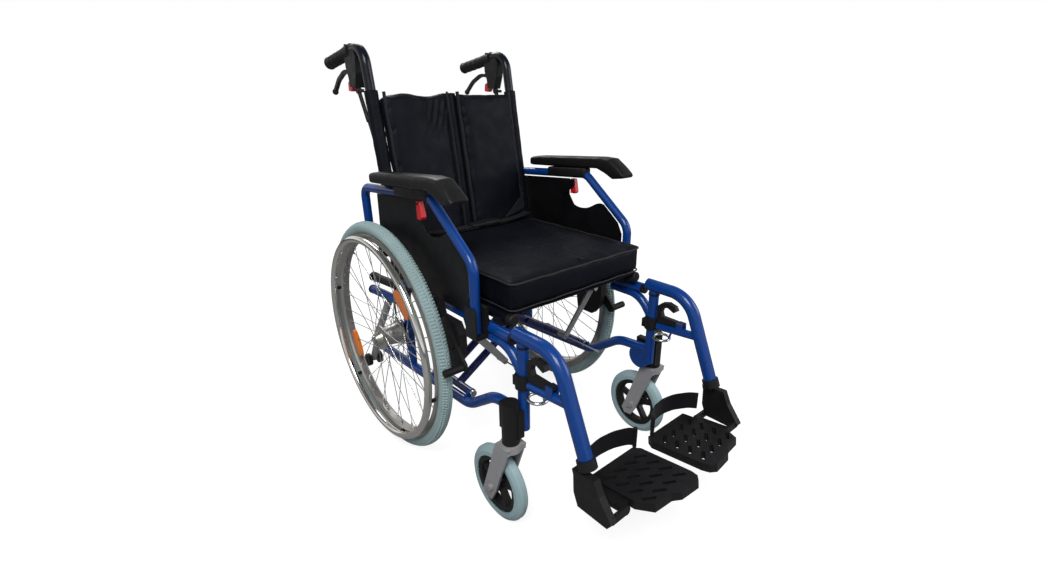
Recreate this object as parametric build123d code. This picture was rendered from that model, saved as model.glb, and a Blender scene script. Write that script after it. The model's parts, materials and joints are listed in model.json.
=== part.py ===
"""Folding manual wheelchair with attendant drum brakes.

Axes: +X is the sitter's left, +Y is behind the chair, +Z is up, all in millimetres.
Every place below is written from the rear axle line (y) and the floor (z); the last
step moves the whole chair so that the origin is on the floor under its middle.
The left side is built once and mirrored to make the right side.
"""

from build123d import *
from math import atan2, cos, degrees, radians, sin, sqrt, tan
import os

# ---------------------------------------------------------------- driving dimensions
AXLE_BEHIND_ORIGIN = 240.5    # rear axle line, behind the middle of the chair

FRAME_X = 213.0               # middle plane of each side frame
FRAME_TUBE_R = 12.5
FRAME_WALL = 2.0
TOP_TUBE_Z = 445.0
FRONT_TUBE_Y = -487.0

WHEEL_R = 305.0               # 24 inch rear wheel
WHEEL_X = 279.0
TYRE_R = 17.0                 # radius of the tyre's round section
RIM_OUTER_R = 276.0
RIM_INNER_R = 257.0
RIM_WIDTH = 25.0
HANDRIM_R = 264.0
HANDRIM_TUBE_R = 9.0
HANDRIM_OUT = 31.0            # handrim plane, outboard of the wheel plane
SPOKES = 36
AXLE_R = 6.35

CASTOR_R = 90.0               # 7 inch castor
CASTOR_WIDTH = 29.0
CASTOR_X = 244.0
CASTOR_STEM_Y = -480.0
CASTOR_TRAIL = 44.0

PIVOT_X = 197.0               # lower pivots and seat rails, in plan
PIVOT_Z = 222.0
RAIL_Z = 474.0
RAIL_R = 11.0
BRACE_R = 10.0
BRACE_A_BARS_Y = (-240.0, -180.0)
BRACE_B_BARS_Y = (-210.0, -150.0)

HANGER_R = 15.0
HANGER_Z = 460.0
FOOT_HINGE = (180.0, -700.0, 180.0)
FOOT_TILT = 8.0               # the footplates rise towards the toes

ARM_X = 241.0
ARM_PAD_X = 253.0             # the pad stands outboard, clear of the back tube when it flips
ARM_TUBE_R = 11.0

BACK_FOOT_Z = 460.0           # where the back tube starts to lean
BACK_LEAN = 9.93              # degrees from upright
BACK_TOP_Z = 1012.7           # corner of back tube and push handle
HANDLE_DROP = 0.158           # fall of the push handle per unit of length

CUSHION_TOP_Z = 556.0
RUN_FIT = 0.05                # radial clearance of a turning fit
GAP = 0.3                     # clearance between separate pieces
SEAM_TURN = 33.0              # turns each round bar's seam away from the joints

LEAN_SLOPE = tan(radians(BACK_LEAN))


# ---------------------------------------------------------------- helpers
def back_tube_y(z):
    """Middle of the leaning back tube at height z."""
    return (z - BACK_FOOT_Z) * LEAN_SLOPE


def in_plane(x, points):
    """Side view points (y, z) put into the plane at x."""
    return [(x, y, z) for y, z in points]


def bent_path(points, bend):
    """A run of straight lengths joined by round bends."""
    return FilletPolyline(*points, radius=bend)


def rod(path, radius):
    """A round bar along a path."""
    start = Plane(origin=path @ 0, z_dir=path % 0).location * Rot(0, 0, SEAM_TURN)
    return sweep(start * Circle(radius), path=path)


def bar(start, end, radius):
    """A straight round bar between two points."""
    a = Vector(*start)
    b = Vector(*end)
    length = (b - a).length
    place = Plane(origin=a, z_dir=b - a).location * Rot(0, 0, SEAM_TURN)
    return extrude(place * Circle(radius), length)


def bar_x(y, z, radius, x0, x1):
    """A round bar that lies across the chair."""
    return bar((x0, y, z), (x1, y, z), radius)


def bar_y(x, z, radius, y0, y1):
    """A round bar that lies along the chair."""
    return bar((x, y0, z), (x, y1, z), radius)


def bar_z(x, y, radius, z0, z1):
    """An upright round bar."""
    return bar((x, y, z0), (x, y, z1), radius)


def block(x, y, z):
    """A box from three (low, high) pairs."""
    size = (x[1] - x[0], y[1] - y[0], z[1] - z[0])
    middle = ((x[0] + x[1]) / 2, (y[0] + y[1]) / 2, (z[0] + z[1]) / 2)
    return Pos(*middle) * Box(*size)


def side_plate(points, x0, x1):
    """A plate cut to a side view outline (y, z) between x0 and x1."""
    outline = Plane.YZ.offset(x0) * make_face(Polyline(*points, close=True))
    return extrude(outline, x1 - x0)


def turned_x(points):
    """A ring turned about the X axis from a closed outline of (x, radius)."""
    outline = make_face(Polyline(*points, close=True))
    return revolve(outline, Axis.X, 360)


def group(*pieces):
    """Separate solids that share one node."""
    solids = []
    for piece in pieces:
        solids += list(piece.solids())
    return Compound(children=solids)


def cable_path(points):
    """Runs joined by arcs that are as large as the two runs beside them allow."""
    corners = [Vector(*p) for p in points]
    radii = []
    for i in range(1, len(corners) - 1):
        before = corners[i] - corners[i - 1]
        after = corners[i + 1] - corners[i]
        half_turn = radians(before.get_angle(after)) / 2
        shorter = min(before.length, after.length)
        radii.append(0.45 * shorter / tan(half_turn))
    print("cable bend radii", [round(r) for r in radii])
    return FilletPolyline(*points, radius=radii)


# ---------------------------------------------------------------- side frame
REAR_STUB = [(0, 376), (205, 361)]
LOWER_TUBE = [(190, 181), (-285, 206), (-385, 275), (FRONT_TUBE_Y, 283)]
TOP_TUBE = [(0, TOP_TUBE_Z), (-452, TOP_TUBE_Z)]
GUSSET = [(-352, 425), (-444, 425), (FRONT_TUBE_Y, 372)]
GUSSET_R = 11.5
REAR_UPRIGHT = (0.0, 187.0, 452.0)
CASTOR_DISC = (-462.0, 257.0, 32.0)
LUG_YS = ((-269.0, -263.0), (-113.0, -107.0))
LINK_PIVOT = (205.0, 402.0)
LINK_LUG_Y = (-293.0, -288.0)


def frame_rods(radius, reach):
    """The welded tubes of one side as round bars, each open end moved out by reach."""
    lower_end = (LOWER_TUBE[0][0] + reach, LOWER_TUBE[0][1])
    lower = bent_path(in_plane(FRAME_X, [lower_end] + LOWER_TUBE[1:]), 90)
    stub_end = (FRAME_X, REAR_STUB[1][0] + reach, REAR_STUB[1][1])
    joined = bar_y(FRAME_X, TOP_TUBE_Z, radius, 0, TOP_TUBE[1][0] - reach)
    joined += rod(lower, radius)
    joined += bar_z(FRAME_X, 0, radius, REAR_UPRIGHT[1], REAR_UPRIGHT[2] + reach)
    joined += bar_z(FRAME_X, FRONT_TUBE_Y, radius, 246, 437 + reach)
    joined += bar((FRAME_X, 0, REAR_STUB[0][1]), stub_end, radius)
    return joined


def gusset(radius):
    """Bent tube that braces the top tube against the front tube."""
    return rod(bent_path(in_plane(FRAME_X, GUSSET), 70), radius)


def pivot_lugs():
    """Four ears on the lower tube that hold the fold pivot bolt."""
    ears = []
    for y0, y1 in LUG_YS:
        tube_z = 208 if y0 < -200 else 197
        spine = Plane.XZ * make_hull(
            [
                Pos(PIVOT_X, PIVOT_Z) * Circle(11).edge(),
                Pos(FRAME_X, tube_z) * Circle(11).edge(),
            ]
        )
        ears.append(Pos(0, y1, 0) * extrude(spine, y1 - y0))
    return ears


def side_frame():
    """Tubes of one side with the axle boss, pivot lugs and castor plate welded on."""
    frame = frame_rods(FRAME_TUBE_R, 0)
    frame += bar_x(0, WHEEL_R, 14, FRAME_X - 16, FRAME_X + 19)
    for ear in pivot_lugs():
        frame += ear
    link_x, link_z = LINK_PIVOT
    ear = Plane.XZ * make_hull(
        [
            Pos(link_x, link_z) * Circle(9).edge(),
            Pos(FRAME_X, TOP_TUBE_Z - 8) * Circle(9).edge(),
        ]
    )
    frame += Pos(0, LINK_LUG_Y[1], 0) * extrude(ear, LINK_LUG_Y[1] - LINK_LUG_Y[0])
    frame -= frame_rods(FRAME_TUBE_R - FRAME_WALL, 1)
    frame += gusset(GUSSET_R)
    disc_y, disc_z, disc_r = CASTOR_DISC
    frame += bar_x(disc_y, disc_z, disc_r, FRAME_X - 10, FRAME_X + 10)
    frame -= bar_x(0, WHEEL_R, AXLE_R + RUN_FIT, FRAME_X - 20, FRAME_X + 25)
    frame -= bar_y(PIVOT_X, PIVOT_Z, 5 + RUN_FIT, -275, -100)
    frame -= bar_y(link_x, link_z, 4 + RUN_FIT, -300, -280)
    bore = FRAME_TUBE_R - FRAME_WALL
    frame -= bar_z(FRAME_X, FRONT_TUBE_Y, bore, 380, 440)
    frame -= bar_y(FRAME_X, TOP_TUBE_Z, bore, TOP_TUBE[1][0] - 2, -330)
    frame -= bar_z(FRAME_X, 0, FRAME_TUBE_R + 0.1, 452, 470)
    return frame


# ---------------------------------------------------------------- black fittings on the frame
SOCKET_Y = (-386.0, -348.0)
LEG_Y = -367.0                # front leg of the armrest
REAR_PIN = (40.0, 530.0)      # cross pin that the armrest turns on, (y, z)
REAR_PIN_R = 4.0


CLAMP_RELIEF = (CASTOR_STEM_Y, 282.5, 5.2)    # hollow over the lower tube's rounded end


def castor_head():
    """Bearing housing and the clamp that bolts it to the frame's round plate."""
    head = bar_z(CASTOR_X, CASTOR_STEM_Y, 19, 224, 320)
    clamp = block((FRAME_X + 10.2, CASTOR_X - 4), (-500, -436), (236, 300))
    clamp += bar_x(*CASTOR_DISC[:2], 24, FRAME_X + 10.2, FRAME_X + 18)
    clamp -= bar_z(FRAME_X, FRONT_TUBE_Y, FRAME_TUBE_R + 0.2, 220, 320)
    front_end = (FRAME_X, *LOWER_TUBE[-1])
    clamp -= bar((FRAME_X, *LOWER_TUBE[-2]), front_end, FRAME_TUBE_R + 0.2)
    head += clamp
    head -= bar_x(*CLAMP_RELIEF, FRAME_X + 10, FRAME_X + 12.8)
    head -= bar_z(CASTOR_X, CASTOR_STEM_Y, 6 + RUN_FIT, 200, 312)
    return head


def arm_front_socket():
    """Fork at the side of the top tube that takes the armrest's front leg."""
    socket = block((FRAME_X + 8, ARM_X + 14), SOCKET_Y, (424, 494))
    bore = bar_z(ARM_X, LEG_Y, ARM_TUBE_R + GAP, 432, 510)
    slot = block((ARM_X - 11.3, ARM_X + 11.3), (-400, LEG_Y), (432, 510))
    socket -= bore
    socket -= slot
    socket -= bar_y(FRAME_X, TOP_TUBE_Z, FRAME_TUBE_R + 0.1, -420, -330)
    socket -= bar_y(FRAME_X, GUSSET[0][1], GUSSET_R + 0.1, -425, -330)
    return socket


def arm_rear_fork():
    """Fork on a ring round the back tube, with the cross pin that the armrest turns on."""
    low, high = 496, 532
    y, z = REAR_PIN
    foot = (FRAME_X, back_tube_y(low), low)
    head = (FRAME_X, back_tube_y(high), high)
    holder = bar(foot, head, 17)
    holder += block((FRAME_X + 8, ARM_X + 11), (y - 19, y - 12), (z - 18, z))
    for x0 in (ARM_X - 11, ARM_X + 5.3):
        holder += bar_x(y, z, 10, x0, x0 + 5.7)
        holder += block((x0, x0 + 5.7), (y - 13, y), (z - 10, z))
    beyond = (head[1] - foot[1]) / 4
    holder -= bar(
        (FRAME_X, foot[1] - beyond, low - 9),
        (FRAME_X, head[1] + beyond, high + 9),
        FRAME_TUBE_R + 0.1,
    )
    return holder + bar_x(y, z, REAR_PIN_R, ARM_X - 10, ARM_X + 10)


def rail_saddle(y):
    """Plastic seat on the top tube that the seat rail rests in when open."""
    saddle = block((PIVOT_X - 15, PIVOT_X + 14), (y - 13, y + 13), (454, RAIL_Z))
    saddle -= bar_y(PIVOT_X, RAIL_Z, RAIL_R + GAP, y - 20, y + 20)
    saddle -= bar_y(FRAME_X, TOP_TUBE_Z, FRAME_TUBE_R + 0.1, y - 20, y + 20)
    return saddle


def tube_cap(start, end, radius, plug):
    """Cap with a plug that goes into an open tube end."""
    a = Vector(*start)
    b = Vector(*end)
    way = (b - a).normalized()
    inner = a - way * plug
    return bar(start, end, radius) + bar(tuple(inner), start, 10.4)


def parking_brake_body():
    """Housing that hangs from the top tube in front of the rear wheel."""
    outline = [(-302, 405), (-302, 352), (-270, 312), (-214, 312), (-206, 360)]
    outline += [(-206, 405), (-222, 428), (-286, 428)]
    body = side_plate(outline, FRAME_X + 11, FRAME_X + 31)
    body -= bar_y(FRAME_X, TOP_TUBE_Z, FRAME_TUBE_R + 0.1, -320, -190)
    body += bar_x(*BRAKE_PIVOT, 4, FRAME_X + 30, FRAME_X + 43)
    return body


def frame_fittings():
    stub_way = (Vector(0, *REAR_STUB[1]) - Vector(0, *REAR_STUB[0])).normalized()
    stub_end = Vector(FRAME_X, *REAR_STUB[1])
    lower_way = (Vector(0, *LOWER_TUBE[0]) - Vector(0, *LOWER_TUBE[1])).normalized()
    lower_end = Vector(FRAME_X, *LOWER_TUBE[0])
    top_end = Vector(FRAME_X, TOP_TUBE[1][0], TOP_TUBE_Z)
    bush = bar_z(FRAME_X, FRONT_TUBE_Y, 10.4, 392, 437)
    bush += bar_z(FRAME_X, FRONT_TUBE_Y, 14, 437.1, 441)
    bush -= bar_z(FRAME_X, FRONT_TUBE_Y, 8 + RUN_FIT, 380, 450)
    clamp = bar_z(FRAME_X, FRONT_TUBE_Y, 18, 346, 378)
    clamp += block((FRAME_X - 9, FRAME_X + 9), (-487, -462), (346, 368))
    clamp -= bar_z(FRAME_X, FRONT_TUBE_Y, FRAME_TUBE_R + 0.1, 330, 390)
    clamp -= gusset(GUSSET_R + 0.1)
    upper_stub = bar((FRAME_X, 13.2, 420), (FRAME_X, 190, 405), 12)
    upper_stub -= bar_z(FRAME_X, 0, FRAME_TUBE_R + 0.1, 380, 470)
    upper_stub += bar((FRAME_X, 180, 405.9), (FRAME_X, 196, 404.5), 14)
    return group(
        castor_head(),
        arm_front_socket(),
        arm_rear_fork(),
        rail_saddle(-90),
        rail_saddle(-400),
        tube_cap(top_end, top_end + Vector(0, -8, 0), 13, 12),
        tube_cap(stub_end, stub_end + stub_way * 8, 13.5, 14),
        tube_cap(lower_end, lower_end + lower_way * 9, 14, 14),
        bush,
        clamp,
        upper_stub,
        parking_brake_body(),
    )


def axles():
    """Wheel axle, brake backing plate, and the pivot bolts, all of bright steel."""
    axle = bar_x(0, WHEEL_R, AXLE_R, FRAME_X - 22, WHEEL_X + 34)
    axle += bar_x(0, WHEEL_R, 11, FRAME_X - 24, FRAME_X - 16.2)
    axle += bar_x(0, WHEEL_R, 10, WHEEL_X + 34, WHEEL_X + 38)
    plate = bar_x(0, WHEEL_R, 32, FRAME_X + 19.2, FRAME_X + 24)
    plate += block((FRAME_X + 19.2, FRAME_X + 24), (16, 32), (WHEEL_R, 338))
    plate -= bar_x(0, WHEEL_R, AXLE_R + 0.02, FRAME_X, WHEEL_X)
    pivot = bar_y(PIVOT_X, PIVOT_Z, 5, -276, -100)
    pivot += bar_y(PIVOT_X, PIVOT_Z, 9, -276, -269.2)
    pivot += bar_y(PIVOT_X, PIVOT_Z, 9, -106.8, -100)
    link = bar_y(*LINK_PIVOT, 4, -300, -281.2)
    link += bar_y(*LINK_PIVOT, 7, -300, -293.2)
    return group(axle, plate, pivot, link)


# ---------------------------------------------------------------- anti-tip arm
def anti_tip_arm():
    path = bent_path(in_plane(FRAME_X, [(112, 351), (196, 238), (273, 104)]), 200)
    arm = rod(path, 10.5)
    arm -= bar((FRAME_X, *REAR_STUB[0]), (FRAME_X, *REAR_STUB[1]), FRAME_TUBE_R + 0.1)
    pin = bar_x(273, 104, 4, FRAME_X - 24, FRAME_X + 24)
    rollers = []
    for side in (-1, 1):
        x0 = FRAME_X + side * 11.5
        x1 = FRAME_X + side * 23
        wheel = bar_x(273, 104, 20, x0, x1)
        wheel -= bar_x(273, 104, 4.05, FRAME_X - 30, FRAME_X + 30)
        rollers.append(wheel)
    return group(arm + pin, *rollers)


# ---------------------------------------------------------------- rear wheel
def at_wheel(shape):
    return Pos(WHEEL_X, 0, WHEEL_R) * shape


def rear_tyre():
    section = Pos(0, WHEEL_R - TYRE_R) * Circle(TYRE_R)
    section -= Pos(0, RIM_OUTER_R - 9.8) * Rectangle(40, 20)
    return at_wheel(revolve(section, Axis.X, 360))


def rear_rim():
    half = RIM_WIDTH / 2
    wall = 2.2
    outline = [(-half, RIM_OUTER_R), (-half, RIM_INNER_R + 4)]
    outline += [(-half + 5, RIM_INNER_R), (half - 5, RIM_INNER_R)]
    outline += [(half, RIM_INNER_R + 4), (half, RIM_OUTER_R)]
    outline += [(half - wall, RIM_OUTER_R), (half - wall, RIM_INNER_R + 5)]
    outline += [(half - 6, RIM_INNER_R + wall), (-half + 6, RIM_INNER_R + wall)]
    outline += [(-half + wall, RIM_INNER_R + 5), (-half + wall, RIM_OUTER_R)]
    return at_wheel(turned_x(outline))


HUB_INNER_FLANGE = -35.0
HUB_OUTER_FLANGE = 15.0
FLANGE_R = 33.0


def hub_and_spokes():
    bore = AXLE_R + RUN_FIT
    outline = [(-41, bore), (-41, 28), (-37.5, FLANGE_R), (-32.5, FLANGE_R), (-31, 29)]
    outline += [(-6, 26), (12, 22), (13, FLANGE_R), (17, FLANGE_R), (18.5, 19)]
    outline += [(27, 15), (33.5, 13), (33.5, bore)]
    hub = turned_x(outline)
    spokes = []
    step = 360 / SPOKES
    for i in range(SPOKES):
        flange = HUB_OUTER_FLANGE if i % 2 else HUB_INNER_FLANGE
        lean = 1 if (i // 2) % 2 else -1
        rim_angle = radians(i * step)
        hub_angle = rim_angle + lean * radians(62)
        side = lean * 2.4
        start_r = FLANGE_R + 0.4
        start = (flange + side, start_r * sin(hub_angle), start_r * cos(hub_angle))
        end_r = RIM_INNER_R - 0.3
        end_x = 4 if i % 2 else -4
        end = (end_x, end_r * sin(rim_angle), end_r * cos(rim_angle))
        spokes.append(bar(start, end, 1.0))
    return at_wheel(group(hub, *spokes))


def handrim():
    """Bright ring and the short black stand-offs that carry it on the rim."""
    ring = Pos(HANDRIM_OUT, 0, 0) * Rot(0, 90, 0) * Torus(HANDRIM_R, HANDRIM_TUBE_R)
    pieces = [ring]
    for i in range(6):
        angle = radians(15 + 60 * i)
        y = HANDRIM_R * sin(angle)
        z = HANDRIM_R * cos(angle)
        inner = RIM_WIDTH / 2 + 0.1
        pieces.append(bar_x(y, z, 5, inner, HANDRIM_OUT - HANDRIM_TUBE_R - 0.1))
    return at_wheel(group(*pieces))


# ---------------------------------------------------------------- castor
CASTOR_Y = CASTOR_STEM_Y + CASTOR_TRAIL


def castor_fork():
    stem = bar_z(CASTOR_X, CASTOR_STEM_Y, 6, 215, 308)
    crown = bar_z(CASTOR_X, CASTOR_STEM_Y, 24, 206, 222)
    crown += block((CASTOR_X - 25, CASTOR_X + 25), (-499, -458), (206, 220))
    fork = crown + stem
    leg = [(-501, 220), (-458, 220), (-414, 92), (-404, 66), (-414, 52)]
    leg += [(-436, 54), (-452, 84)]
    for side in (-1, 1):
        x0 = CASTOR_X + side * 19
        x1 = CASTOR_X + side * 25
        plate = side_plate(leg, min(x0, x1), max(x0, x1))
        plate -= bar_x(-424, 68, 3.5, CASTOR_X - 40, CASTOR_X + 40)
        fork += plate
    bolt_y, bolt_z = CASTOR_Y, CASTOR_R
    fork += bar_x(bolt_y, bolt_z, 5, CASTOR_X - 25, CASTOR_X + 25)
    for side in (-1, 1):
        start = (CASTOR_X + side * 24.5, bolt_y, bolt_z)
        end = (CASTOR_X + side * 32, bolt_y, bolt_z)
        fork += bar(start, end, 8)
    return fork


def castor_wheel():
    """Grey tyre moulded on a black spoked core."""
    half = CASTOR_WIDTH / 2
    tread = [(-half, 68), (-half, 78), (-half + 5, 87), (-5, CASTOR_R), (5, CASTOR_R)]
    tread += [(half - 5, 87), (half, 78), (half, 68), (half - 4, 66.1), (4 - half, 66.1)]
    tyre = turned_x(tread)
    core = turned_x([(-11, 56), (-11, 66), (11, 66), (11, 56), (8, 54), (-8, 54)])
    core += bar_x(0, 0, 17, -16, 16)
    for i in range(5):
        angle = radians(72 * i)
        spoke = Rot(72 * i, 0, 0) * block((-7, 7), (-6, 6), (14, 56))
        core += spoke
    core -= bar_x(0, 0, 5 + RUN_FIT, -30, 30)
    place = Pos(CASTOR_X, CASTOR_Y, CASTOR_R)
    return place * group(tyre, core)


# ---------------------------------------------------------------- fold: cross braces and links
def brace(low_side, bars_y):
    """One half of the scissor: pivot tube, two bars and the seat rail they carry."""
    low_x = low_side * PIVOT_X
    high_x = -low_side * PIVOT_X
    half = bar_y(low_x, PIVOT_Z, BRACE_R, -262, -114)
    half += bar_y(high_x, RAIL_Z, RAIL_R, -440, -45)
    for y in bars_y:
        half += bar((low_x, y, PIVOT_Z), (high_x, y, RAIL_Z), BRACE_R)
    half -= bar_y(low_x, PIVOT_Z, 5 + RUN_FIT, -270, -100)
    return half


MIDDLE_Z = (PIVOT_Z + RAIL_Z) / 2


def cross_brace_a():
    """Pivots low on the left frame and carries the right rail and the centre bolt."""
    half = brace(1, BRACE_A_BARS_Y)
    half += bar_y(0, MIDDLE_Z, 5, -256, -134)
    half += bar_y(0, MIDDLE_Z, 9, -256, -246)
    half += bar_y(0, MIDDLE_Z, 9, -138, -134)
    return half


def cross_brace_b():
    """Pivots low on the right frame and carries the left rail."""
    half = brace(-1, BRACE_B_BARS_Y)
    half -= bar_y(0, MIDDLE_Z, 5 + RUN_FIT, -270, -120)
    return half


LINK_REST = (105.0, 283.0)    # free end of the grey link, beside its brace bar


def fold_link():
    """Grey link hung under the top tube, with the bright sleeve and rod at its free end."""
    x0, z0 = LINK_PIVOT
    x1, z1 = LINK_REST
    y0, y1 = -287.0, -282.0
    face = Plane.XZ * make_hull(
        [Pos(x0, z0) * Circle(10).edge(), Pos(x1, z1) * Circle(8).edge()]
    )
    link = Pos(0, y1, 0) * extrude(face, y1 - y0)
    link += bar_y(x1, z1, 7, -287, -258)
    link += bar_y(x1, z1, 2, -400, -284)
    link += bar_y(x1, z1, 3.5, -408, -396)
    link -= bar_y(x0, z0, 4 + RUN_FIT, -295, -270)
    return link


# ---------------------------------------------------------------- hanger, latch and footplate
HANGER_PATH = [(-466, HANGER_Z), (-586, HANGER_Z), (-670, 262)]
BRACE_LINE = ((-506.5, 358), (-628, 369))
LATCH_PIVOT = (-572.0, 380.0)


def hanger():
    path = bent_path(in_plane(FRAME_X, HANGER_PATH), 75)
    tube = rod(path, HANGER_R)
    tube += bar((FRAME_X, *BRACE_LINE[0]), (FRAME_X, *BRACE_LINE[1]), 10)
    tube -= rod(path, HANGER_R - FRAME_WALL)
    tube += bar_z(FRAME_X, FRONT_TUBE_Y, 13, 441.3, 450)
    tube += bar_z(FRAME_X, FRONT_TUBE_Y, 8, 396, 442)
    for x0 in (FRAME_X - 10, FRAME_X + 7):
        ear = [(-582, 362), (-562, 360), (-564, 388), (-580, 388)]
        tube += side_plate(ear, x0, x0 + 3)
    tube += bar_x(*LATCH_PIVOT, 3, FRAME_X - 10, FRAME_X + 10)
    ring = Pos(FRAME_X - 6, -524, 334) * Torus(20, 3.4)
    ring += bar((FRAME_X - 6, -524 - 20, 334), (FRAME_X, -548, 358), 2.6)
    return group(tube + ring)


def hanger_latch():
    """Open hook that lies on the brace and grips the frame's front tube."""
    outline = [(-579, 381), (-573, 376), (-510, 370.5), (-505, 378), (-504, 414), (-516, 425)]
    outline += [(-534, 430), (-554, 425), (-560, 415), (-552, 409), (-534, 417)]
    outline += [(-520, 413), (-516, 400), (-520, 389), (-579, 388)]
    latch = side_plate(outline, FRAME_X - 6.5, FRAME_X + 6.5)
    latch -= bar_x(*LATCH_PIVOT, 3 + RUN_FIT, FRAME_X - 20, FRAME_X + 20)
    return latch


def tilted(shape):
    """Tilt about the footplate's hinge middle, toes up."""
    _, y, z = FOOT_HINGE
    turn = Pos(0, y, z) * Rot(-FOOT_TILT, 0, 0) * Pos(0, -y, -z)
    return turn * shape


def footplate_bracket():
    """Casting clamped on the hanger's end, with two ears and the hinge pin."""
    end = Vector(FRAME_X, *HANGER_PATH[2])
    corner = Vector(FRAME_X, *HANGER_PATH[1])
    way = (end - corner).normalized()
    sleeve = bar(tuple(end - way * 14), tuple(end + way * 6), 19)
    outline = [(-646, 250), (-650, 238), (-652, 200), (-664, 172), (-738, 172)]
    outline += [(-748, 186), (-716, 226), (-702, 254)]
    body = sleeve + side_plate(outline, FRAME_X + 1, FRAME_X + 17)
    hinge_x, hinge_y, hinge_z = FOOT_HINGE
    for y0, y1 in ((-44, -37), (37, 44)):
        ear = block(
            (hinge_x, FRAME_X + 8), (hinge_y + y0, hinge_y + y1), (172, 188)
        )
        ear += bar_y(hinge_x, hinge_z, 9, hinge_y + y0, hinge_y + y1)
        body += tilted(ear)
    body += tilted(bar_y(hinge_x, hinge_z, 4, hinge_y - 44, hinge_y + 44))
    bore = bar(tuple(end - way * 60), tuple(end + way * 0.1), HANGER_R + 0.05)
    return body - bore


def footplate():
    hinge_x, hinge_y, hinge_z = FOOT_HINGE
    outline = [(164, -634), (164, -748), (146, -782), (100, -786), (84, -798)]
    outline += [(34, -802), (22, -792), (18, -776), (18, -650), (28, -634)]
    face = make_face(Polyline(*outline, close=True))
    plate = Pos(0, 0, hinge_z - 4) * extrude(face, 18)
    plate += bar_y(hinge_x, hinge_z, 9, hinge_y - 36.5, hinge_y + 36.5)
    plate += block(
        (160, hinge_x), (hinge_y - 36.5, hinge_y + 36.5), (hinge_z - 4, hinge_z + 9)
    )
    plate -= bar_y(hinge_x, hinge_z, 4 + RUN_FIT, hinge_y - 50, hinge_y + 50)
    slot = extrude(SlotOverall(30, 8), 30)
    for row in range(4):
        for column in range(4):
            x = 44 + 32 * column
            y = -668 - 32 * row
            plate -= Pos(x, y, hinge_z - 10) * Rot(0, 0, 35) * slot
    return tilted(plate)


def heel_strap():
    """Webbing band behind the heel, from the bracket to the plate's inner corner."""
    line = ThreePointArc((196, -640), (118, -606), (34, -631))
    band = extrude(trace(line, 3), 44)
    return Pos(0, 0, 192) * band


# ---------------------------------------------------------------- back and push handle
GRIP_START_Y = 186.0
GRIP_END_Y = 316.0


def handle_z(y):
    """Middle of the push handle at a distance behind the axle."""
    return BACK_TOP_Z - HANDLE_DROP * (y - back_tube_y(BACK_TOP_Z))


def back_path():
    corner_y = back_tube_y(BACK_TOP_Z)
    points = [(0, 452.1), (0, BACK_FOOT_Z), (corner_y, BACK_TOP_Z), (300, handle_z(300))]
    return FilletPolyline(*in_plane(FRAME_X, points), radius=[60, 45])


def back_tube():
    path = back_path()
    tube = rod(path, FRAME_TUBE_R) - rod(path, FRAME_TUBE_R - FRAME_WALL)
    spigot = bar_z(FRAME_X, 0, FRAME_TUBE_R - FRAME_WALL - 0.05, 424, 455)
    plug = bar_z(FRAME_X, 0, FRAME_TUBE_R - 1, 453, 459)
    return tube + plug + spigot


def hand_grip():
    start = (FRAME_X, GRIP_START_Y, handle_z(GRIP_START_Y))
    end = (FRAME_X, GRIP_END_Y, handle_z(GRIP_END_Y))
    inner_end = (FRAME_X, 300.2, handle_z(300.2))
    grip = bar(start, end, 16.5)
    front = (FRAME_X, GRIP_START_Y - 10, handle_z(GRIP_START_Y - 10))
    return grip - bar(front, inner_end, FRAME_TUBE_R + 0.05)


LEVER_PIVOT = (166.0, 950.0)
LOCK_PIVOT = (163.0, 934.0)


def brake_handle():
    """Lever housing clamped under the bend of the push handle."""
    outline = [(132, 1012), (176, 1018), (184, 1000), (182, 966), (172, 940)]
    outline += [(170, 920), (138, 918), (125, 952), (120, 986)]
    body = side_plate(outline, FRAME_X - 12, FRAME_X + 12)
    body += bar(
        (FRAME_X, 160, handle_z(160)), (FRAME_X, 184, handle_z(184)), 17
    )
    body -= rod(back_path(), FRAME_TUBE_R + 0.05)
    body -= block((FRAME_X - 5.5, FRAME_X + 5.5), (148, 200), (941, 968))
    body -= block((FRAME_X - 7.5, FRAME_X + 7.5), (152, 200), (900, 940.9))
    body += bar_x(*LEVER_PIVOT, 3, FRAME_X - 12, FRAME_X + 12)
    body += bar_x(*LOCK_PIVOT, 2, FRAME_X - 12, FRAME_X + 12)
    return body


def brake_lever():
    centre = [(166, 952), (216, 958), (262, 938), (296, 910)]
    path = bent_path(in_plane(FRAME_X, centre), 60)
    start = Plane(origin=path @ 0, x_dir=(1, 0, 0), z_dir=path % 0)
    lever = sweep(start * Rectangle(9, 9), path=path)
    lever += Pos(FRAME_X, 298, 908) * Sphere(8)
    lever += bar_x(*LEVER_PIVOT, 8, FRAME_X - 5, FRAME_X + 5)
    lever -= bar_x(*LEVER_PIVOT, 3 + RUN_FIT, FRAME_X - 20, FRAME_X + 20)
    return lever


def lever_lock():
    outline = [(158, 938.5), (170, 939), (190, 930), (192, 911), (177, 909), (158, 926)]
    lock = side_plate(outline, FRAME_X - 7, FRAME_X + 7)
    lock -= bar_x(*LOCK_PIVOT, 2 + RUN_FIT, FRAME_X - 20, FRAME_X + 20)
    return lock


CABLE_POINTS = [
    (213, 147, 918.1),
    (213.5, 134, 880),
    (214, 104, 830),
    (214.2, 82, 780),
    (214, 66.5, 720),
    (214, 51, 630),
    (213.6, 40.5, 572),
    (213.2, 33.5, 525),
    (215, 31, 478),
    (226, 33, 425),
    (234, 32, 385),
    (234.5, 26, 339),
]
CABLE_R = 2.5


def brake_cable():
    path = cable_path(CABLE_POINTS)
    cable = rod(path, CABLE_R)
    section = 3.14159265 * CABLE_R**2
    print("cable length", round(path.length), "volume ratio",
          round(cable.volume / (section * path.length), 4))
    return cable


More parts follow.
